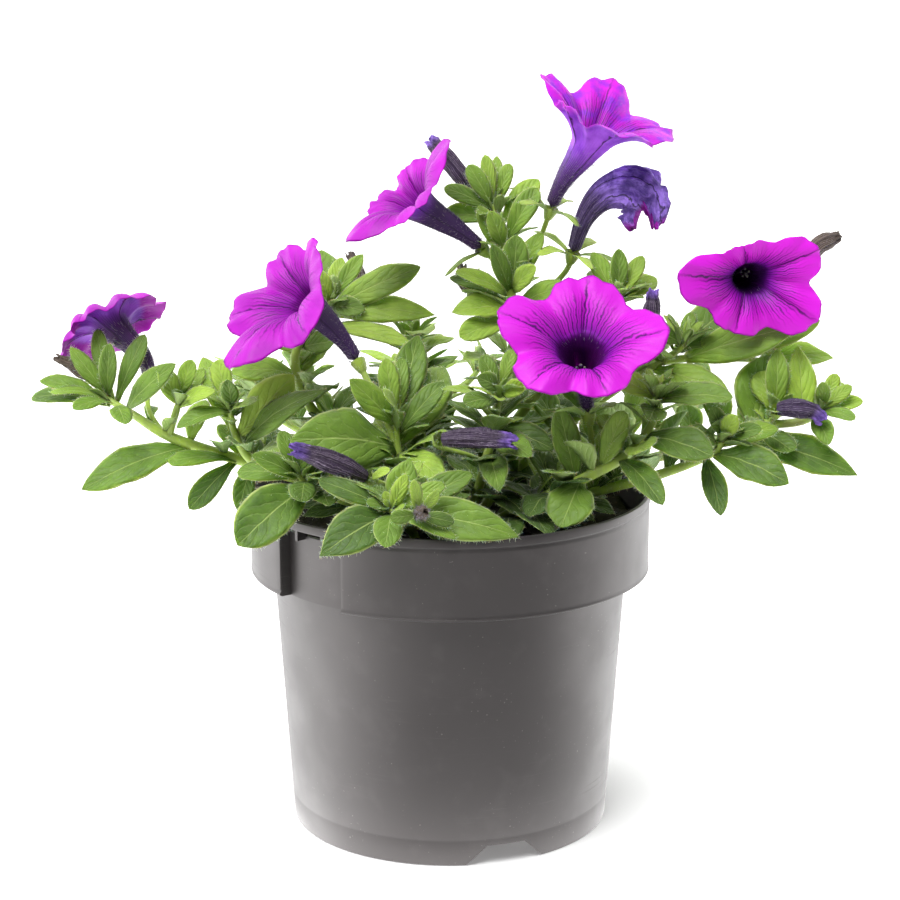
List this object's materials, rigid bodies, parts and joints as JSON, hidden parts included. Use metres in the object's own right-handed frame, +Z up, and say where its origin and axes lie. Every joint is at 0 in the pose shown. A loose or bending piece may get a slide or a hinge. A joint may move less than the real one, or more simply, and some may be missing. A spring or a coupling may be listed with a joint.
{
  "type": "potted petunia",
  "caption": "Bushy petunia with open, wilted and spent trumpet blooms, standing in a round tapered nursery pot of grey plastic with a stepped collar and drainage notches.",
  "frame": {"origin": "centre of the flat foot in the middle of the pot's underside, on the pot's axis", "axes": "+Z up along the pot's axis, -Y towards the front of the plant (the side with the large open bloom over the rim), +X to the right seen from the front"},
  "size_m": [0.2651, 0.1572, 0.2415],
  "materials": {
    "pot_plastic": "satin",
    "peat": "matte",
    "foliage": "matte",
    "petal": "matte",
    "withered_petal": "matte"
  },
  "bodies": {
    "root": {"pot": "pot_plastic", "peat": "peat", "bloom_top": "petal", "bloom_upper_left": "petal", "bloom_left": "petal", "bloom_front": "petal", "bloom_right": "petal", "bloom_far_left": "petal", "bloom_wilted": "withered_petal", "spent_bloom_front_left": "withered_petal", "spent_bloom_centre": "withered_petal", "spent_bloom_upper_left": "withered_petal", "spent_bloom_top": "withered_petal", "spent_bloom_shaded": "withered_petal", "spent_bloom_far_right": "withered_petal", "spent_bloom_right": "withered_petal", "spent_bloom_far_left": "withered_petal", "bud_behind": "withered_petal", "bud_front": "withered_petal", "leafy_stem_left": "foliage", "leafy_stem_left_mid": "foliage", "leafy_stem_upper_left": "foliage", "leafy_stem_centre_left": "foliage", "leafy_stem_front": "foliage", "leafy_stem_top": "foliage", "leafy_stem_centre": "foliage", "leafy_stem_front_right": "foliage", "leafy_stem_right": "foliage", "leafy_stem_far_right": "foliage", "leafy_stem_right_back": "foliage", "leafy_stem_centre_back": "foliage", "leafy_stem_left_low": "foliage", "leafy_stem_back_left": "foliage", "leafy_stem_back": "foliage", "leafy_stem_back_right": "foliage", "leafy_stem_back_top": "foliage", "leafy_stem_back_far": "foliage"}
  },
  "joints": []
}
